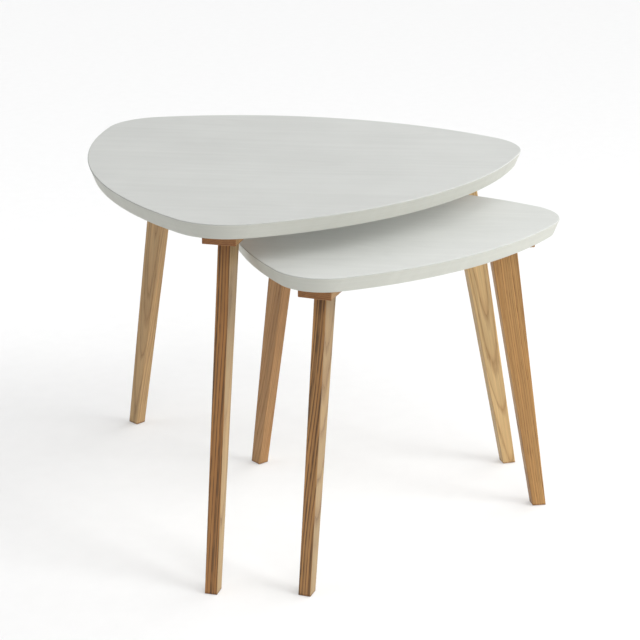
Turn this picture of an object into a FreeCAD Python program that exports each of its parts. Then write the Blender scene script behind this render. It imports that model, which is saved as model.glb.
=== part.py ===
"""Pair of nesting tables with rounded-triangle tops.

Each table is a painted panel on three splayed oak legs. A leg stands under an oak
block with two dowels and a screw, and the block is bolted to threaded inserts in
the underside of the panel. The small table slides out from under the large one.

Millimetres. +Z is up, and -Y is the way the small table pulls out. The origin is on
the floor, under the middle of the pair's bounding box with the small table pushed in.
"""
import FreeCAD, Part
import math
import os
from FreeCAD import Placement, Rotation, Vector

# ---- tops -----------------------------------------------------------------
LARGE_HEIGHT = 480.0
LARGE_CORNER_REACH = 332.0      # centre to the tip of a rounded corner
LARGE_SIDE_REACH = 262.0        # centre to the middle of a bowed side
LARGE_CORNER_RADIUS = 88.0

SMALL_HEIGHT = 420.0
SMALL_CORNER_REACH = 252.0
SMALL_SIDE_REACH = 187.0
SMALL_CORNER_RADIUS = 66.0

TOP_THICKNESS = 20.0
EDGE_UNDERCUT = 7.5             # the edge leans in by this much at the underside
UPPER_EDGE_ROUND = 1.0
LOWER_EDGE_ROUND = 1.5

# ---- legs: boards of even thickness whose width tapers towards the foot -----
LARGE_FOOT_RADIUS = 336.5       # centre to the middle of a foot, on the floor
LARGE_LEG_TOP_RADIUS = 247.0    # the same line where it meets the panel's underside
SMALL_FOOT_RADIUS = 242.5
SMALL_LEG_TOP_RADIUS = 173.5
LEG_THICKNESS = 16.5
LEG_WIDTH_AT_FOOT = 19.0
LEG_WIDTH_AT_PANEL = 37.5
LEG_EDGE_ROUND = 1.2

# ---- blocks between the legs and the panel ----------------------------------
BLOCK_WIDTH = 43.5
BLOCK_THICKNESS = 18.0
BLOCK_OVERHANG = 21.0           # from the leg's outer face to the block's outer end
LARGE_BLOCK_LENGTH = 125.0
SMALL_BLOCK_LENGTH = 105.0
BLOCK_EDGE_ROUND = 1.0

# ---- dowels and screws -------------------------------------------------------
DOWEL_RADIUS = 3.0
DOWEL_LENGTH = 30.0
DOWEL_DEPTH_IN_BLOCK = 12.0
DOWEL_SPACING = 23.0            # along the leg's width
DOWEL_CHAMFER = 0.8
LEG_SCREW_RADIUS = 2.25
LEG_SCREW_LENGTH = 55.0
LEG_SCREW_HEAD_RADIUS = 4.5
LEG_SCREW_HEAD_HEIGHT = 3.0
CROSS_LENGTH = 5.0
CROSS_BREADTH = 1.0
CROSS_DEPTH = 1.8
TIP_LENGTH = 1.0                # tapered end of every screw
BOLT_RADIUS = 3.0
BOLT_LENGTH = 28.0
BOLT_HEAD_RADIUS = 6.0
BOLT_HEAD_HEIGHT = 3.5
LARGE_BOLT_SPACING = 40.0
SMALL_BOLT_SPACING = 28.0
BOLT_END_MARGIN = 17.0          # from the block's inner end to the nearer bolt
BOLT_CLEARANCE = 0.4
HEX_ACROSS_FLATS = 4.0
HEX_DEPTH = 2.2
INSERT_RADIUS = 4.5
INSERT_LENGTH = 12.0
INSERT_FLANGE_RADIUS = 6.0
INSERT_FLANGE_HEIGHT = 1.0

# ---- foot glides ---------------------------------------------------------------
GLIDE_RADIUS = 6.5
GLIDE_HEIGHT = 1.0              # what the glide lifts the leg off the floor
GLIDE_PIN_RADIUS = 1.25
GLIDE_PIN_LENGTH = 12.0

# ---- where the small table stands when it is pushed in -----------------------
SMALL_OFFSET_X = 9.0
SMALL_OFFSET_Y = -152.5
SMALL_TURN = -5.0               # degrees about the vertical

LEG_DIRECTIONS = {"right": -30.0, "back": 90.0, "left": 210.0}
UP = Vector(0, 0, 1)


def polar(distance, degrees, z=0.0):
    """Point at a distance from the centre line, in a horizontal direction."""
    angle = math.radians(degrees)
    return Vector(distance * math.cos(angle), distance * math.sin(angle), z)


def triangle_outline(corner_reach, side_reach, corner_radius, inset, z):
    """Closed wire of three corner arcs and three long side arcs, all tangent.

    The side arcs are centred beyond the far corners. Their distance from the middle
    follows from the reach of corners and sides. An inset keeps every arc's centre.
    """
    corner_centre = corner_reach - corner_radius
    flat = side_reach - corner_radius
    side_centre = (corner_centre ** 2 - flat ** 2) / (2 * flat - corner_centre)
    side_radius = side_reach + side_centre
    edges = []
    for direction in LEG_DIRECTIONS.values():
        centre = polar(corner_centre, direction, z)
        before = (centre - polar(side_centre, direction + 120, z)).normalize()
        after = (centre - polar(side_centre, direction - 120, z)).normalize()
        radius = corner_radius - inset
        start = centre + before * radius
        tip = polar(corner_reach - inset, direction, z)
        end = centre + after * radius
        edges.append(Part.Arc(start, tip, end).toShape())
        middle = polar(side_radius - side_centre - inset, direction + 60, z)
        next_centre = polar(corner_centre, direction + 120, z)
        next_side = polar(side_centre, direction + 240, z)
        next_start = next_centre + (next_centre - next_side).normalize() * radius
        edges.append(Part.Arc(end, middle, next_start).toShape())
    return Part.Wire(edges)


def edges_at_height(solid, z):
    """Edges of a solid that lie wholly in one horizontal plane."""
    found = []
    for edge in solid.Edges:
        box = edge.BoundBox
        if abs(box.ZMin - z) < 0.01 and abs(box.ZMax - z) < 0.01:
            found.append(edge)
    return found


def upright_cylinder(radius, height, base):
    return Part.makeCylinder(radius, height, base, UP)


def make_top(size, insert_points):
    """Panel with an edge that leans inwards, and blind holes for the inserts."""
    outline = (size["corner_reach"], size["side_reach"], size["corner_radius"])
    upper_z = size["height"]
    lower_z = upper_z - TOP_THICKNESS
    lower = triangle_outline(*outline, EDGE_UNDERCUT, lower_z)
    upper = triangle_outline(*outline, 0.0, upper_z)
    panel = Part.makeLoft([lower, upper], True, True)
    panel = panel.makeFillet(UPPER_EDGE_ROUND, edges_at_height(panel, upper_z))
    panel = panel.makeFillet(LOWER_EDGE_ROUND, edges_at_height(panel, lower_z))
    for point in insert_points:
        panel = panel.cut(insert_pocket(point))
    return panel


def insert_pocket(point):
    """Stepped hole that holds one insert flush with the panel's underside."""
    hole = upright_cylinder(INSERT_RADIUS, INSERT_LENGTH + 1.0, point)
    recess = upright_cylinder(INSERT_FLANGE_RADIUS, INSERT_FLANGE_HEIGHT, point)
    return hole.fuse(recess)


def make_insert(point):
    """Threaded sleeve with a flange, open along its axis."""
    sleeve = upright_cylinder(INSERT_RADIUS, INSERT_LENGTH, point)
    flange = upright_cylinder(INSERT_FLANGE_RADIUS, INSERT_FLANGE_HEIGHT, point)
    bore = upright_cylinder(BOLT_RADIUS, INSERT_LENGTH + 2.0, point - UP)
    return sleeve.fuse(flange).cut(bore)


def countersunk(point, shank_radius, length, head_radius, head_height, way):
    """Screw with a cone head. The head's face is centred on the point."""
    head = Part.makeCone(head_radius, shank_radius, head_height, point, way)
    shank = Part.makeCylinder(shank_radius, length - TIP_LENGTH, point, way)
    tip_base = point + way * (length - TIP_LENGTH)
    tip = Part.makeCone(shank_radius, shank_radius * 0.6, TIP_LENGTH, tip_base, way)
    return head.fuse([shank, tip])


def hex_socket(point):
    """Six-sided key hole that goes up from the head's face."""
    corner = HEX_ACROSS_FLATS / math.sqrt(3)
    points = [point + polar(corner, 60 * step) for step in range(7)]
    face = Part.Face(Part.makePolygon(points))
    return face.extrude(UP * HEX_DEPTH)


def cross_slot(point):
    """Cross recess that goes down from the head's face."""
    bars = []
    for length, breadth in ((CROSS_LENGTH, CROSS_BREADTH), (CROSS_BREADTH, CROSS_LENGTH)):
        corner = point - Vector(length / 2, breadth / 2, CROSS_DEPTH)
        bars.append(Part.makeBox(length, breadth, CROSS_DEPTH, corner))
    return bars[0].fuse(bars[1])


def make_bolt(point):
    """Countersunk machine screw that points up, with a hexagon socket."""
    bolt = countersunk(point, BOLT_RADIUS, BOLT_LENGTH, BOLT_HEAD_RADIUS, BOLT_HEAD_HEIGHT, UP)
    return bolt.cut(hex_socket(point))


def leg_screw_body(point):
    """Wood screw that points down, before its recess is cut."""
    head = (LEG_SCREW_HEAD_RADIUS, LEG_SCREW_HEAD_HEIGHT)
    return countersunk(point, LEG_SCREW_RADIUS, LEG_SCREW_LENGTH, *head, UP * -1)


def bolt_hole(point):
    """Clearance hole through the block, with a sink for the bolt's head."""
    hole = upright_cylinder(BOLT_RADIUS + BOLT_CLEARANCE, BLOCK_THICKNESS, point)
    sink = Part.makeCone(BOLT_HEAD_RADIUS, BOLT_RADIUS, BOLT_HEAD_HEIGHT, point, UP)
    return hole.fuse(sink)


def make_dowel(point):
    """Round wooden pin with chamfered ends, standing on the point."""
    dowel = upright_cylinder(DOWEL_RADIUS, DOWEL_LENGTH, point)
    ends = edges_at_height(dowel, point.z) + edges_at_height(dowel, point.z + DOWEL_LENGTH)
    return dowel.makeChamfer(DOWEL_CHAMFER, ends)


def make_glide(foot):
    """Low plastic disc with a pin that is driven into the end of the leg."""
    disc = upright_cylinder(GLIDE_RADIUS, GLIDE_HEIGHT, foot)
    disc = disc.makeFillet(GLIDE_HEIGHT * 0.4, edges_at_height(disc, foot.z))
    pin_base = foot + UP * (GLIDE_HEIGHT / 2)
    return disc.fuse(upright_cylinder(GLIDE_PIN_RADIUS, GLIDE_PIN_LENGTH, pin_base))


def leg_line(size, z):
    """Distance of the leg's middle from the centre line, and its width, at a height."""
    share = z / (size["height"] - TOP_THICKNESS)
    middle = size["foot_radius"] + (size["leg_top_radius"] - size["foot_radius"]) * share
    width = LEG_WIDTH_AT_FOOT + (LEG_WIDTH_AT_PANEL - LEG_WIDTH_AT_FOOT) * share
    return middle, width


def make_leg(size, holes):
    """Tapered board that leans out along +X, with level ends and eased edges."""
    top_z = size["height"] - TOP_THICKNESS - BLOCK_THICKNESS
    points = []
    for z, sides in ((GLIDE_HEIGHT, (-1, 1)), (top_z, (1, -1))):
        middle, width = leg_line(size, z)
        for side in sides:
            points.append(Vector(middle + side * width / 2, -LEG_THICKNESS / 2, z))
    face = Part.Face(Part.makePolygon(points + points[:1]))
    board = face.extrude(Vector(0, LEG_THICKNESS, 0))
    long_edges = []
    for edge in board.Edges:
        if edge.BoundBox.ZLength > top_z / 2:
            long_edges.append(edge)
    board = board.makeFillet(LEG_EDGE_ROUND, long_edges)
    for hole in holes:
        board = board.cut(hole)
    return board


def make_block(size, block_start, holes):
    """Oak board under the panel, along +X, with rounded lower edges."""
    top_z = size["height"] - TOP_THICKNESS
    corner = Vector(block_start, -BLOCK_WIDTH / 2, top_z - BLOCK_THICKNESS)
    block = Part.makeBox(size["block_length"], BLOCK_WIDTH, BLOCK_THICKNESS, corner)
    eased = []
    for edge in block.Edges:
        if edge.BoundBox.ZMax < top_z - 0.01 or edge.BoundBox.ZLength > 1.0:
            eased.append(edge)
    block = block.makeFillet(BLOCK_EDGE_ROUND, eased)
    for hole in holes:
        block = block.cut(hole)
    return block


def make_leg_set(size):
    """One leg with its block and fixings, pointing along +X.

    Returns a map from the kind of piece to its solids, and the inserts' places.
    """
    panel_z = size["height"] - TOP_THICKNESS
    joint_z = panel_z - BLOCK_THICKNESS
    middle, width = leg_line(size, joint_z)
    block_end = middle + width / 2 + BLOCK_OVERHANG
    block_start = block_end - size["block_length"]

    dowels = []
    for side in (-0.5, 0.5):
        low_end = joint_z + DOWEL_DEPTH_IN_BLOCK - DOWEL_LENGTH
        dowels.append(make_dowel(Vector(middle + side * DOWEL_SPACING, 0, low_end)))
    screw_head = Vector(middle, 0, panel_z)
    screw_body = leg_screw_body(screw_head)

    bolts = []
    bolt_holes = []
    inserts = []
    insert_points = []
    for step in range(2):
        x = block_start + BOLT_END_MARGIN + step * size["bolt_spacing"]
        bolt_head = Vector(x, 0, joint_z)
        bolts.append(make_bolt(bolt_head))
        bolt_holes.append(bolt_hole(bolt_head))
        insert_points.append(Vector(x, 0, panel_z))
        inserts.append(make_insert(insert_points[-1]))

    leg_holes = dowels + [screw_body]
    glide = make_glide(Vector(size["foot_radius"], 0, 0))
    return {
        "leg": [make_leg(size, leg_holes + [glide])],
        "block": [make_block(size, block_start, leg_holes + bolt_holes)],
        "glide": [glide],
        "dowels": dowels,
        "leg_screws": [screw_body.cut(cross_slot(screw_head))],
        "bolts": bolts,
        "inserts": inserts,
    }, insert_points


def make_table(name, size):
    """All nodes of one table, standing on the origin, as name to a list of solids.

    Pieces whose kind is a plural share one node. The others get one node per leg.
    """
    nodes = {}
    insert_points = []
    for side, direction in LEG_DIRECTIONS.items():
        leg_set, points = make_leg_set(size)
        turn = Placement(Vector(), Rotation(UP, direction))
        for point in points:
            insert_points.append(turn.multVec(point))
        for kind, solids in leg_set.items():
            shared = kind.endswith("s")
            key = f"{name}_{kind}" if shared else f"{name}_{kind}_{side}"
            for solid in solids:
                turned = solid.copy()
                turned.Placement = turn
                nodes.setdefault(key, []).append(turned)
    nodes[f"{name}_top"] = [make_top(size, insert_points)]
    return nodes


LARGE = {
    "height": LARGE_HEIGHT,
    "corner_reach": LARGE_CORNER_REACH,
    "side_reach": LARGE_SIDE_REACH,
    "corner_radius": LARGE_CORNER_RADIUS,
    "foot_radius": LARGE_FOOT_RADIUS,
    "leg_top_radius": LARGE_LEG_TOP_RADIUS,
    "block_length": LARGE_BLOCK_LENGTH,
    "bolt_spacing": LARGE_BOLT_SPACING,
}
SMALL = {
    "height": SMALL_HEIGHT,
    "corner_reach": SMALL_CORNER_REACH,
    "side_reach": SMALL_SIDE_REACH,
    "corner_radius": SMALL_CORNER_RADIUS,
    "foot_radius": SMALL_FOOT_RADIUS,
    "leg_top_radius": SMALL_LEG_TOP_RADIUS,
    "block_length": SMALL_BLOCK_LENGTH,
    "bolt_spacing": SMALL_BOLT_SPACING,
}


def make_pair():
    """Both tables, with the middle of their bounding box over the origin."""
    pair = make_table("large", LARGE)
    pushed_in = Placement(
        Vector(SMALL_OFFSET_X, SMALL_OFFSET_Y, 0), Rotation(UP, SMALL_TURN)
    )
    for node, solids in make_table("small", SMALL).items():
        for solid in solids:
            solid.Placement = pushed_in.multiply(solid.Placement)
        pair[node] = solids
    box = Part.makeCompound(sum(pair.values(), [])).optimalBoundingBox(False, True)
    shift = Vector(-box.Center.x, -box.Center.y, 0)
    for solids in pair.values():
        for solid in solids:
            solid.translate(shift)
    return pair


os.makedirs("parts", exist_ok=True)
for node, solids in make_pair().items():
    shape = solids[0] if len(solids) == 1 else Part.makeCompound(solids)
    shape.exportStep(f"parts/{node}.step")
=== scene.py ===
import math

import bpy
import numpy as np
from mathutils import Euler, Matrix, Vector


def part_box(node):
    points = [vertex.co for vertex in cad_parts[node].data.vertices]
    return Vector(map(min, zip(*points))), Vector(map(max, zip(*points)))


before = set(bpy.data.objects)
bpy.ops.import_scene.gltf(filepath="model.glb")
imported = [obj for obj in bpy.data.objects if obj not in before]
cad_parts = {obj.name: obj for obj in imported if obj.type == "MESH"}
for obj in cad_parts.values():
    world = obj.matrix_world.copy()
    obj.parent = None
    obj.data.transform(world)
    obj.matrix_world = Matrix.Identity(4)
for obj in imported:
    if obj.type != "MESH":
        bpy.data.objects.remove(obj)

bpy.context.view_layer.update()

LEG_SIDES = ("right", "back", "left")
MM = 0.001
FLAT_END = 0.1 * MM             # heights within this belong to the same level end
SLANTED_END = 12 * MM           # how far a leg's level end slants in the leg's own frame


# ---- places read from the frame ---------------------------------------------------

def middle(node):
    """Centre of a node's box at rest."""
    low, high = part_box(node)
    return (Vector(low) + Vector(high)) / 2


def table_centre(table):
    """Point on the floor in the middle of a table's three feet."""
    feet = [middle(f"{table}_glide_{side}") for side in LEG_SIDES]
    centre = sum(feet, Vector()) / len(feet)
    return Vector((centre.x, centre.y, 0.0))


def leg_points(table, side):
    """Every vertex of a leg, as rows of an array."""
    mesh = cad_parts[f"{table}_leg_{side}"].data
    points = np.empty(len(mesh.vertices) * 3)
    mesh.vertices.foreach_get("co", points)
    return points.reshape(-1, 3)


def leg_frame(table, side):
    """Foot point of a leg, with the turn that lays +Z along it and +X outwards."""
    points = leg_points(table, side)
    height = points[:, 2]
    ends = []
    for level in (height.min(), height.max()):
        rim = points[np.abs(height - level) < FLAT_END]
        ends.append(Vector((rim.min(axis=0) + rim.max(axis=0)) / 2))
    foot, head = ends
    outwards = foot - table_centre(table)
    direction = math.atan2(outwards.y, outwards.x)
    lean = Vector((head.x - foot.x, head.y - foot.y)).length
    tilt = -math.atan2(lean, head.z - foot.z)
    return foot, (0.0, tilt, direction)


def outer_face(table, side):
    """Where a leg's outer face stands in the leg's own frame: at the foot, and per metre."""
    foot, turn = leg_frame(table, side)
    back = np.array(Euler(turn).to_matrix().transposed())
    own = (leg_points(table, side) - np.array(foot)) @ back.T
    corners = []
    for level in (own[:, 2].min(), own[:, 2].max()):
        rim = own[np.abs(own[:, 2] - level) < SLANTED_END]
        corners.append(rim[rim[:, 0].argmax()])
    low, high = corners
    slope = (high[0] - low[0]) / (high[2] - low[2])
    return low[0] - slope * low[2], slope


# ---- shader helper ------------------------------------------------------------------

class Finish:
    """A material under construction. Each method adds one node and returns its output."""

    def __init__(self, name):
        self.material = bpy.data.materials.new(name)
        self.material.use_nodes = True
        self.tree = self.material.node_tree
        self.tree.nodes.clear()
        self.output = self.tree.nodes.new("ShaderNodeOutputMaterial")

    def add(self, kind, **settings):
        node = self.tree.nodes.new(kind)
        for key, value in settings.items():
            setattr(node, key, value)
        return node

    def feed(self, socket, value):
        """Links an output to a socket, or sets the socket's own value."""
        if isinstance(value, bpy.types.NodeSocket):
            self.tree.links.new(value, socket)
        else:
            socket.default_value = value

    def place(self, location=(0, 0, 0), turn=(0, 0, 0)):
        """Object coordinates seen from a point, with the axes turned."""
        source = self.add("ShaderNodeTexCoord").outputs["Object"]
        mapping = self.add("ShaderNodeMapping", vector_type="TEXTURE")
        self.feed(mapping.inputs["Vector"], source)
        self.feed(mapping.inputs["Location"], location)
        self.feed(mapping.inputs["Rotation"], turn)
        return mapping.outputs["Vector"]

    def stretch(self, vector, scale):
        """A vector multiplied axis by axis."""
        node = self.add("ShaderNodeVectorMath", operation="MULTIPLY")
        self.feed(node.inputs[0], vector)
        self.feed(node.inputs[1], scale)
        return node.outputs["Vector"]

    def shift(self, vector, other):
        """One vector added to another."""
        node = self.add("ShaderNodeVectorMath", operation="ADD")
        self.feed(node.inputs[0], vector)
        self.feed(node.inputs[1], other)
        return node.outputs["Vector"]

    def noise(self, vector, scale=1.0, detail=2.0, roughness=0.5):
        """Smooth noise in space. A stretched vector draws it out along an axis."""
        node = self.add("ShaderNodeTexNoise")
        self.feed(node.inputs["Vector"], vector)
        self.feed(node.inputs["Scale"], scale)
        self.feed(node.inputs["Detail"], detail)
        self.feed(node.inputs["Roughness"], roughness)
        return node.outputs

    def math(self, operation, first, second=0.0, third=0.0):
        """One arithmetic step. MULTIPLY_ADD is first * second + third."""
        node = self.add("ShaderNodeMath", operation=operation)
        for socket, value in zip(node.inputs, (first, second, third)):
            self.feed(socket, value)
        return node.outputs["Value"]

    def spread(self, value, low, high, start=0.0, end=1.0):
        """A value carried smoothly from low..high to start..end, and held there."""
        node = self.add("ShaderNodeMapRange", interpolation_type="SMOOTHSTEP")
        for name, item in (("Value", value), ("From Min", low), ("From Max", high),
                           ("To Min", start), ("To Max", end)):
            self.feed(node.inputs[name], item)
        return node.outputs["Result"]

    def ramp(self, value, stops):
        """Colours at given places, blended in between."""
        node = self.add("ShaderNodeValToRGB")
        bar = node.color_ramp
        while len(bar.elements) < len(stops):
            bar.elements.new(0.5)
        for element, (place, colour) in zip(bar.elements, stops):
            element.position = place
            element.color = (*colour, 1.0)
        self.feed(node.inputs["Fac"], value)
        return node.outputs["Color"]

    def blend(self, share, first, second, mode="MIX"):
        """The first colour where share is 0 and the second, or their product, where it is 1."""
        node = self.add("ShaderNodeMix", data_type="RGBA", blend_type=mode)
        self.feed(node.inputs["Factor"], share)
        colour_sockets = [s for s in node.inputs if s.type == "RGBA"]
        for socket, value in zip(colour_sockets, (first, second)):
            self.feed(socket, (*value, 1.0) if isinstance(value, tuple) else value)
        return [s for s in node.outputs if s.type == "RGBA"][0]

    def bump(self, height, distance, strength):
        """Fine relief: a height of 1 stands for the distance."""
        node = self.add("ShaderNodeBump")
        self.feed(node.inputs["Height"], height)
        self.feed(node.inputs["Distance"], distance)
        self.feed(node.inputs["Strength"], strength)
        return node.outputs["Normal"]

    def grey(self, value):
        """The same number as red, green and blue."""
        node = self.add("ShaderNodeCombineColor")
        for socket in node.inputs:
            self.feed(socket, value)
        return node.outputs["Color"]

    def tint(self, colour, factor):
        """A colour multiplied by another, or by a number."""
        if isinstance(factor, bpy.types.NodeSocket) and factor.type == "VALUE":
            factor = self.grey(factor)
        return self.blend(1.0, colour, factor, "MULTIPLY")

    def parts(self, vector):
        """The X, Y and Z of a vector."""
        node = self.add("ShaderNodeSeparateXYZ")
        self.feed(node.inputs[0], vector)
        return node.outputs

    def surface(self, **inputs):
        """Closes the material with one Principled shader."""
        shader = self.add("ShaderNodeBsdfPrincipled")
        for key, value in inputs.items():
            self.feed(shader.inputs[key.replace("_", " ")], value)
        self.tree.links.new(shader.outputs["BSDF"], self.output.inputs["Surface"])
        return self.material


# ---- oak ------------------------------------------------------------------------------

RING_TONES = (
    (0.00, (0.300, 0.176, 0.078)),
    (0.10, (0.365, 0.226, 0.106)),
    (0.34, (0.505, 0.345, 0.178)),
    (0.78, (0.475, 0.316, 0.158)),
    (1.00, (0.360, 0.218, 0.100)),
)
PLAIN_OAK = (0.462, 0.305, 0.150)
WARM_OAK = (0.400, 0.225, 0.088)
PORE_BROWN = (0.150, 0.076, 0.030)
RING_BROWN = (0.092, 0.046, 0.017)
# Tint of the painted shade on a leg's outer face.
OUTER_FACE_SHADE = (0.86, 0.74, 0.60)
END_GRAIN = (0.72, 0.55, 0.42)
# Darkening near the floor: scuffing, and painted contact shade.
SCUFF_AND_CONTACT_SHADE = (0.50, 0.42, 0.36)

# Waves per metre across, across and along the grain.
RING_WANDER = (9.0, 9.0, 2.6)
RING_RIPPLE = (80.0, 80.0, 10.0)
PORE_GRAIN = (1350.0, 1350.0, 48.0)
BREAK_GRAIN = (330.0, 330.0, 34.0)
FIBRE_GRAIN = (620.0, 620.0, 9.0)
STREAK_GRAIN = (170.0, 170.0, 4.0)
FIGURE_GRAIN = (36.0, 36.0, 3.0)

WANDER_REACH = 20 * MM
RIPPLE_REACH = 2.4 * MM
HALF = (-0.5, -0.5, -0.5)       # moves a noise's mean to zero
FLIPPED = (1.0, 1.0, -1.0)


def outside(finish, spot, face, axis):
    """1 beyond a plane that leans with the piece's length, and 0 inside the piece.

    The plane stands at face[0] + face[1] * z along the axis, in the piece's own frame.
    """
    parts = finish.parts(spot)
    plane = finish.math("MULTIPLY_ADD", parts["Z"], face[1], face[0])
    depth = finish.math("SUBTRACT", parts[axis], plane)
    return finish.spread(depth, -0.45 * MM, -0.10 * MM)


def oak(name, place, turn, seed, board, ends=None, face=None):
    """Oiled oak whose grain runs along the piece's own Z.

    Growth rings are circles round a pith line beside the board, which leans a little
    and is bent by slow noises. Each ring opens with a band of dark pores: a noise drawn
    out along the grain and cut at a threshold. A block gives half its length as ends,
    and darkens on its sawn ends. A leg gives the plane of its outer face, which is tinted
    darker with painted shade and shows dark rings of the grain. Near the floor the leg is
    darkened by scuffing and by painted contact shade.
    """
    wood = Finish(name)
    own = wood.place(place, turn)
    spot = wood.shift(own, (0.0, 0.0, seed))

    wander = wood.noise(wood.stretch(spot, RING_WANDER), detail=1.0)["Color"]
    wander = wood.stretch(wood.shift(wander, HALF), (WANDER_REACH, WANDER_REACH, 0.0))
    ripple = wood.noise(wood.stretch(spot, RING_RIPPLE))["Color"]
    ripple = wood.stretch(wood.shift(ripple, HALF), (RIPPLE_REACH, RIPPLE_REACH, 0.0))
    lean = wood.add("ShaderNodeMapping", vector_type="POINT")
    wood.feed(lean.inputs["Vector"], own)
    wood.feed(lean.inputs["Rotation"], (*board["lean"], 0.0))
    across = wood.stretch(lean.outputs["Vector"], (1.0, 1.0, 0.0))
    across = wood.shift(across, (-board["pith"][0], -board["pith"][1], 0.0))
    across = wood.shift(wood.shift(across, wander), ripple)
    length = wood.add("ShaderNodeVectorMath", operation="LENGTH")
    wood.feed(length.inputs[0], across)
    rings = wood.math("DIVIDE", length.outputs["Value"], board["ring"] * MM)
    spacing = wood.add("ShaderNodeTexNoise", noise_dimensions="1D")
    wood.feed(spacing.inputs["Scale"], 0.7)
    wood.feed(spacing.inputs["W"], rings)
    rings = wood.math("MULTIPLY_ADD", spacing.outputs["Fac"], 1.6, rings)
    ring = wood.math("FRACT", rings)
    year = wood.add("ShaderNodeTexWhiteNoise", noise_dimensions="1D")
    wood.feed(year.inputs["W"], wood.math("FLOOR", rings))

    tone = wood.ramp(ring, RING_TONES)
    early = wood.spread(ring, 0.02, 0.42, 1.0, 0.10)
    dashes = wood.noise(wood.stretch(spot, PORE_GRAIN), detail=1.0)["Fac"]
    dashes = wood.math("MULTIPLY", wood.spread(dashes, 0.52, 0.64), early)
    broken = wood.noise(wood.stretch(spot, BREAK_GRAIN))["Fac"]
    broken = wood.spread(broken, 0.34, 0.56, 0.35, 1.0)
    fibre = wood.noise(wood.stretch(spot, FIBRE_GRAIN), detail=3.0)["Fac"]
    streak = wood.noise(wood.stretch(spot, STREAK_GRAIN))["Fac"]
    figure = wood.noise(wood.stretch(spot, FIGURE_GRAIN), detail=3.0)["Fac"]

    colour = wood.blend(board["plain"], tone, PLAIN_OAK)
    warm = wood.spread(figure, 0.34, 0.70, 0.0, board["figure"])
    colour = wood.blend(warm, colour, WARM_OAK)
    shade = wood.spread(fibre, 0.25, 0.75, 0.86, 1.10)
    shade = wood.math("MULTIPLY", shade, wood.spread(streak, 0.3, 0.7, 1.06, 0.93))
    each = wood.math("MULTIPLY_ADD", year.outputs["Value"], 0.12, 0.94)
    colour = wood.tint(colour, wood.math("MULTIPLY", shade, each))
    colour = wood.blend(wood.math("MULTIPLY", dashes, board["pores"]), colour, PORE_BROWN)
    colour = wood.tint(colour, board["stain"])
    # On the outer face: a darker, more saturated tint that is painted shade, and the dark rings
    # of the grain.
    if face:
        shaded_outer_face = outside(wood, own, face, "X")
        colour = wood.blend(shaded_outer_face, colour, wood.tint(colour, board["shaded_outer_face"]))
        dark_rings = wood.math("MULTIPLY", shaded_outer_face, wood.spread(ring, 0.12, 0.62, 1.0, 0.0))
        dark_rings = wood.math("MULTIPLY", dark_rings, broken)
        colour = wood.blend(dark_rings, colour, RING_BROWN)
    if ends:
        sawn = wood.math(
            "MAXIMUM",
            outside(wood, own, (ends, 0.0), "Z"),
            outside(wood, wood.stretch(own, FLIPPED), (ends, 0.0), "Z"),
        )
        colour = wood.blend(sawn, colour, wood.tint(colour, END_GRAIN))
    else:
        # Darker towards the floor: scuffing, and painted contact shade where the leg stands on
        # the floor.
        scuff_and_contact_shade = wood.math(
            "MULTIPLY",
            wood.spread(wood.parts(wood.place())["Z"], 1.2 * MM, 4.2 * MM, 1.0, 0.0),
            wood.spread(streak, 0.25, 0.60, 0.45, 1.0),
        )
        colour = wood.blend(scuff_and_contact_shade, colour, wood.tint(colour, SCUFF_AND_CONTACT_SHADE))

    relief = wood.math("MULTIPLY_ADD", dashes, -1.0, wood.math("MULTIPLY", fibre, 0.35))
    relief = wood.math("MULTIPLY_ADD", early, -0.12, relief)
    gloss = wood.math("MULTIPLY_ADD", dashes, 0.25, wood.spread(fibre, 0.2, 0.8, 0.44, 0.56))
    return wood.surface(
        Base_Color=colour,
        Roughness=gloss,
        IOR=1.47,
        Normal=wood.bump(relief, 0.12 * MM, 0.6),
    )


BEECH_TONES = (
    (0.25, (0.470, 0.300, 0.180)),
    (0.75, (0.610, 0.425, 0.270)),
)
FLECK_BROWN = (0.300, 0.160, 0.085)
BEECH_FLECKS = (1900.0, 1900.0, 260.0)
BEECH_FIBRE = (700.0, 700.0, 20.0)


def beech(name):
    """Bare beech: even pinkish brown with short dark flecks along the upright grain."""
    wood = Finish(name)
    spot = wood.place()
    flecks = wood.noise(wood.stretch(spot, BEECH_FLECKS), detail=1.0)["Fac"]
    flecks = wood.spread(flecks, 0.60, 0.70, 0.0, 0.45)
    fibre = wood.noise(wood.stretch(spot, BEECH_FIBRE), detail=3.0)["Fac"]
    return wood.surface(
        Base_Color=wood.blend(flecks, wood.ramp(fibre, BEECH_TONES), FLECK_BROWN),
        Roughness=wood.spread(fibre, 0.2, 0.8, 0.56, 0.70),
        Normal=wood.bump(wood.math("MULTIPLY_ADD", flecks, -1.0, fibre), 0.05 * MM, 0.5),
    )


# ---- paint ----------------------------------------------------------------------------

# Tint that makes the leaning edge a little warmer and lighter.
EDGE_WARMER_TINT = (1.050, 1.042, 0.975)
# Painted shade on the rounded arris, which dims its bright rim.
ARRIS_SHADE = (0.860, 0.858, 0.850)

# Waves per metre along the grain, across it and upwards.
GRAIN_BEND = (2.5, 5.0, 1.0)
GRAIN_STREAKS = (2.2, 70.0, 2.2)
GRAIN_PATCHES = (5.0, 14.0, 5.0)
GRAIN_HAIRS = (22.0, 1100.0, 30.0)
GRAIN_ARCHES = (3.0, 11.0, 1.0)
EDGE_LEVELS = (9.0, 9.0, 620.0)
CLOUDS = (4.0, 4.0, 4.0)
PAINT_SKIN = 420.0

BEND_REACH = 30 * MM
ARCH_COUNT = 26.0               # arches from one end of the noise's values to the other


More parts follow.
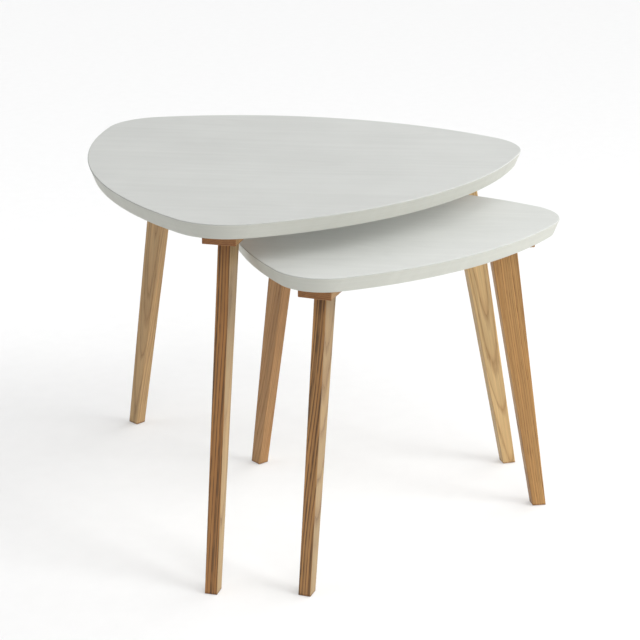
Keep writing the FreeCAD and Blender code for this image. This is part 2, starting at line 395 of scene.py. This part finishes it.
def satin_paint(name, place, grain_angle, colour, top, seed):
    """Off-white satin paint that lets the wood's grain show faintly.

    The streaks are noises drawn out along the grain, with the arched figure of a plank
    where rings round a line under the panel come up to its face. Fine lines that follow
    the level of the surface show only on the panel's leaning edge, which is tinted a little
    warmer and lighter. On the rounded arris between the two the colour is darker: painted
    shade that dims the bright rim the lamps give it.
    """
    paint = Finish(name)
    own = paint.place(place, (0.0, 0.0, grain_angle))
    spot = paint.shift(own, (seed, seed, 0.0))
    bend = paint.noise(paint.stretch(spot, GRAIN_BEND), detail=1.0)["Color"]
    bend = paint.stretch(paint.shift(bend, HALF), (0.0, BEND_REACH, 0.0))
    spot = paint.shift(spot, bend)
    streaks = paint.noise(paint.stretch(spot, GRAIN_STREAKS), detail=4.0, roughness=0.62)["Fac"]
    patches = paint.noise(paint.stretch(spot, GRAIN_PATCHES))["Fac"]
    hairs = paint.noise(paint.stretch(spot, GRAIN_HAIRS))["Fac"]
    levels = paint.noise(paint.stretch(spot, EDGE_LEVELS), detail=3.0, roughness=0.6)["Fac"]
    cloud = paint.noise(paint.stretch(spot, CLOUDS))["Fac"]
    skin = paint.noise(spot, scale=PAINT_SKIN)["Fac"]
    arch = paint.noise(paint.stretch(spot, GRAIN_ARCHES), detail=1.0)["Fac"]
    arch = paint.math("PINGPONG", paint.math("MULTIPLY", arch, ARCH_COUNT), 1.0)
    arch = paint.math("MULTIPLY", arch, paint.spread(patches, 0.42, 0.62))

    lightness = paint.spread(streaks, 0.2, 0.8, 0.978, 1.018)
    for mark, low, high, least, most in (
        (levels, 0.25, 0.75, 0.972, 1.024),
        (cloud, 0.20, 0.80, 0.985, 1.015),
        (hairs, 0.30, 0.75, 1.006, 0.990),
        (arch, 0.10, 0.90, 1.006, 0.986),
    ):
        lightness = paint.math("MULTIPLY", lightness, paint.spread(mark, low, high, least, most))
    tinted = paint.tint(colour, lightness)
    height = paint.parts(own)["Z"]
    # The leaning edge is tinted a little warmer and lighter.
    edge = paint.spread(height, top - 1.5 * MM, top - 0.5 * MM, 1.0, 0.0)
    tinted = paint.blend(edge, tinted, paint.tint(tinted, EDGE_WARMER_TINT))
    # Painted shade: a darker band on the rounded arris that dims the bright rim the lamps give
    # it.
    arris = paint.math(
        "MULTIPLY",
        paint.spread(height, top - 1.30 * MM, top - 0.90 * MM),
        paint.spread(height, top - 0.22 * MM, top - 0.02 * MM, 1.0, 0.0),
    )
    tinted = paint.blend(arris, tinted, paint.tint(tinted, ARRIS_SHADE))

    relief = paint.math("MULTIPLY_ADD", streaks, 0.9, paint.math("MULTIPLY", hairs, -0.30))
    relief = paint.math("MULTIPLY_ADD", levels, 0.35, relief)
    relief = paint.math("MULTIPLY_ADD", arch, -0.15, relief)
    relief = paint.math("MULTIPLY_ADD", skin, 0.10, relief)
    return paint.surface(
        Base_Color=tinted,
        Roughness=paint.spread(streaks, 0.2, 0.8, 0.60, 0.50),
        IOR=1.45,
        Normal=paint.bump(relief, 0.08 * MM, 0.5),
    )


# ---- metal, dowels and glides -----------------------------------------------------------

def metal(name, colour, roughness):
    """Plated or turned metal with fine rings of tool marks and cloudy colour."""
    plate = Finish(name)
    spot = plate.place()
    cloud = plate.noise(spot, scale=260.0, detail=3.0)["Fac"]
    scratch = plate.noise(plate.stretch(spot, (400.0, 400.0, 4200.0)))["Fac"]
    shade = plate.spread(cloud, 0.25, 0.75, 0.82, 1.08)
    return plate.surface(
        Base_Color=plate.tint(colour, shade),
        Metallic=1.0,
        Roughness=plate.spread(scratch, 0.2, 0.8, roughness - 0.08, roughness + 0.12),
        Normal=plate.bump(scratch, 0.02 * MM, 0.5),
    )


def moulded_plastic(name, colour):
    """Matt moulded plastic with a fine spark-eroded skin."""
    moulded = Finish(name)
    spot = moulded.place()
    grain = moulded.noise(spot, scale=1800.0)["Fac"]
    cloud = moulded.noise(spot, scale=120.0)["Fac"]
    shade = moulded.spread(cloud, 0.25, 0.75, 0.85, 1.12)
    return moulded.surface(
        Base_Color=moulded.tint(colour, shade),
        Roughness=moulded.spread(grain, 0.2, 0.8, 0.52, 0.68),
        Normal=moulded.bump(grain, 0.03 * MM, 0.6),
    )


# ---- finishes on the frame's pieces --------------------------------------------------------

def dress(node, material):
    """Gives a CAD node its finish."""
    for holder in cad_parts[node].material_slots:
        holder.material = material


TABLES = ("large", "small")
BLOCK_LENGTH = {"large": 125 * MM, "small": 105 * MM}
BLOCK_BOARD = dict(
    pith=(0.045, 0.010), lean=(0.0, 0.0), ring=2.6, plain=0.0, stain=(0.96, 0.82, 0.66),
)
# Colour of the paint on each table. The small table's is lighter: painted light for the brighter
# light on its top.
PAINT_AND_PAINTED_LIGHT = {"large": (0.487, 0.495, 0.478), "small": (0.524, 0.534, 0.515)}
GRAIN_ANGLE = math.radians(-51.0)

# The board each leg is cut from: where its pith line stands and leans, in metres and
# radians in the leg's own frame, the width of a ring in millimetres, how far the rings
# fade into plain oak, and how strong the warm figure and the pores are. The stain colours
# the whole board. The last entry tints the outer face only, as painted shade.
BOARDS = {
    "large_right": dict(
        pith=(0.004, -0.030), lean=(0.046, 0.012), ring=3.8, plain=0.10, figure=0.30,
        pores=0.45, stain=(1.20, 1.23, 1.15), shaded_outer_face=OUTER_FACE_SHADE,
    ),
    "large_back": dict(
        pith=(-0.003, 0.032), lean=(-0.040, 0.010), ring=4.0, plain=0.20, figure=0.40,
        pores=0.50, stain=(1.03, 1.00, 0.93), shaded_outer_face=OUTER_FACE_SHADE,
    ),
    "large_left": dict(
        pith=(0.010, -0.075), lean=(0.012, 0.0), ring=4.3, plain=0.10, figure=0.45,
        pores=0.70, stain=(0.84, 0.85, 0.77), shaded_outer_face=(0.93, 0.66, 0.46),
    ),
    "small_right": dict(
        pith=(0.110, 0.012), lean=(0.004, 0.010), ring=2.3, plain=0.0, figure=0.35,
        pores=0.90, stain=(0.97, 0.805, 0.54), shaded_outer_face=OUTER_FACE_SHADE,
    ),
    "small_back": dict(
        pith=(-0.045, -0.060), lean=(-0.05, 0.03), ring=2.8, plain=0.15, figure=0.40,
        pores=0.65, stain=(0.89, 0.725, 0.56), shaded_outer_face=OUTER_FACE_SHADE,
    ),
    "small_left": dict(
        pith=(0.004, -0.070), lean=(0.055, 0.0), ring=4.3, plain=0.05, figure=0.30,
        pores=0.85, stain=(0.69, 0.69, 0.64), shaded_outer_face=(1.24, 0.97, 0.74),
    ),
}

# Each board or panel takes its grain this many metres further along than the one before.
LEG_STEP = 1.7
TABLE_STEP = 7.3
BLOCK_STEP = 0.6
PANEL_STEP = 3.1

steel = metal("zinc_plate", (0.60, 0.61, 0.62), 0.34)
brass = metal("turned_brass", (0.72, 0.55, 0.27), 0.30)
nylon = moulded_plastic("glide_nylon", (0.045, 0.038, 0.032))
dowel_wood = beech("dowel_beech")

for number, table in enumerate(TABLES):
    centre = table_centre(table)
    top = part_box(f"{table}_top")[1][2]
    paint = satin_paint(
        f"{table}_paint", centre, GRAIN_ANGLE, PAINT_AND_PAINTED_LIGHT[table], top, PANEL_STEP * number
    )
    dress(f"{table}_top", paint)
    for order, side in enumerate(LEG_SIDES):
        foot, turn = leg_frame(table, side)
        seed = LEG_STEP * order + TABLE_STEP * number
        board = BOARDS[f"{table}_{side}"]
        leg_oak = oak(
            f"{table}_leg_oak_{side}", foot, turn, seed, board, face=outer_face(table, side)
        )
        dress(f"{table}_leg_{side}", leg_oak)
        along = (0.0, math.pi / 2, turn[2])
        block_oak = oak(
            f"{table}_block_oak_{side}", middle(f"{table}_block_{side}"), along,
            seed + BLOCK_STEP, {**board, **BLOCK_BOARD}, ends=BLOCK_LENGTH[table] / 2,
        )
        dress(f"{table}_block_{side}", block_oak)
        dress(f"{table}_glide_{side}", nylon)
    dress(f"{table}_bolts", steel)
    dress(f"{table}_leg_screws", steel)
    dress(f"{table}_inserts", brass)
    dress(f"{table}_dowels", dowel_wood)


# ---- floor, light and camera -----------------------------------------------------------------

def pale_floor():
    """Level, pale floor that glows slightly, so that shadows on it stay soft."""
    finish = Finish("pale_floor")
    speck = finish.noise(finish.place(), scale=35.0)["Fac"]
    shade = finish.spread(speck, 0.2, 0.8, 0.650, 0.662)
    material = finish.surface(
        Base_Color=finish.grey(shade),
        Roughness=0.9,
        Specular_IOR_Level=0.0,
        Emission_Color=(1.0, 1.0, 1.0, 1.0),
        Emission_Strength=FLOOR_GLOW,
    )
    half = FLOOR_SIZE / 2
    mesh = bpy.data.meshes.new("floor")
    corners = [(-half, -half, 0.0), (half, -half, 0.0), (half, half, 0.0), (-half, half, 0.0)]
    mesh.from_pydata(corners, [], [(0, 1, 2, 3)])
    mesh.materials.append(material)
    floor = bpy.data.objects.new("floor", mesh)
    bpy.context.scene.collection.objects.link(floor)


def distant_light(name, azimuth, elevation, strength, softness):
    """Parallel light from a direction, with the angular width of a large soft box."""
    lamp = bpy.data.lights.new(name, "SUN")
    lamp.energy = strength
    lamp.angle = math.radians(softness)
    holder = bpy.data.objects.new(name, lamp)
    bpy.context.scene.collection.objects.link(holder)
    holder.rotation_euler = (
        math.radians(90.0 - elevation), 0.0, math.radians(azimuth + 90.0)
    )


def near_fill():
    """Large lamp close by on the right that lifts the shadows and casts none itself."""
    lamp = bpy.data.lights.new("near_fill", "POINT")
    lamp.energy = FILL_POWER
    lamp.shadow_soft_size = FILL_RADIUS
    lamp.use_shadow = False
    holder = bpy.data.objects.new("near_fill", lamp)
    bpy.context.scene.collection.objects.link(holder)
    holder.location = FILL_PLACE


def studio_sky(strength):
    """Even light from all round, seen itself as a white wall behind the floor."""
    world = bpy.data.worlds.new("studio_sky")
    bpy.context.scene.world = world
    world.use_nodes = True
    tree = world.node_tree
    background = tree.nodes["Background"]
    background.inputs["Color"].default_value = (1.0, 1.0, 1.0, 1.0)
    seen = tree.nodes.new("ShaderNodeLightPath").outputs["Is Camera Ray"]
    power = tree.nodes.new("ShaderNodeMath")
    power.operation = "MULTIPLY_ADD"
    tree.links.new(seen, power.inputs[0])
    power.inputs[1].default_value = 1.0 - strength
    power.inputs[2].default_value = strength
    tree.links.new(power.outputs["Value"], background.inputs["Strength"])


def product_camera():
    """Long lens at the front left, turned towards the pair and tipped down."""
    lens = bpy.data.cameras.new("camera")
    lens.sensor_width = SENSOR_WIDTH
    lens.lens = LENS
    camera = bpy.data.objects.new("camera", lens)
    bpy.context.scene.collection.objects.link(camera)
    camera.location = table_centre("large") + Vector(CAMERA_OFFSET)
    camera.rotation_mode = "XYZ"
    camera.rotation_euler = Euler(
        (math.radians(90.0 - CAMERA_PITCH), math.radians(CAMERA_ROLL), math.radians(CAMERA_TURN))
    )
    bpy.context.scene.camera = camera


FLOOR_SIZE = 40.0
FLOOR_GLOW = 0.205
SKY = 0.15

# Name, azimuth and elevation in degrees, strength, and width in degrees.
LAMPS = (
    ("key_light", -67.0, 30.0, 1.80, 30.0),
    ("low_light", -19.0, 18.0, 1.60, 60.0),
    ("side_light", 10.0, 25.0, 0.40, 40.0),
    ("front_light", -117.0, 46.0, 0.85, 40.0),
    ("back_light", 135.0, 35.0, 0.45, 40.0),
    ("top_light", 0.0, 90.0, 0.62, 100.0),
)
FILL_PLACE = (0.55, -0.55, 1.98)
FILL_POWER = 36.5
FILL_RADIUS = 0.35

# Lens and sensor in millimetres, and the camera's angles in degrees.
SENSOR_WIDTH = 36.0
LENS = 100.6
CAMERA_OFFSET = (-1.6268, -1.6930, 1.0598)
CAMERA_ROLL = -0.11
CAMERA_PITCH = 19.02
CAMERA_TURN = -44.97

pale_floor()
studio_sky(SKY)
for lamp in LAMPS:
    distant_light(*lamp)
near_fill()
product_camera()
bpy.context.scene.view_settings.view_transform = "Standard"

bpy.context.view_layer.update()
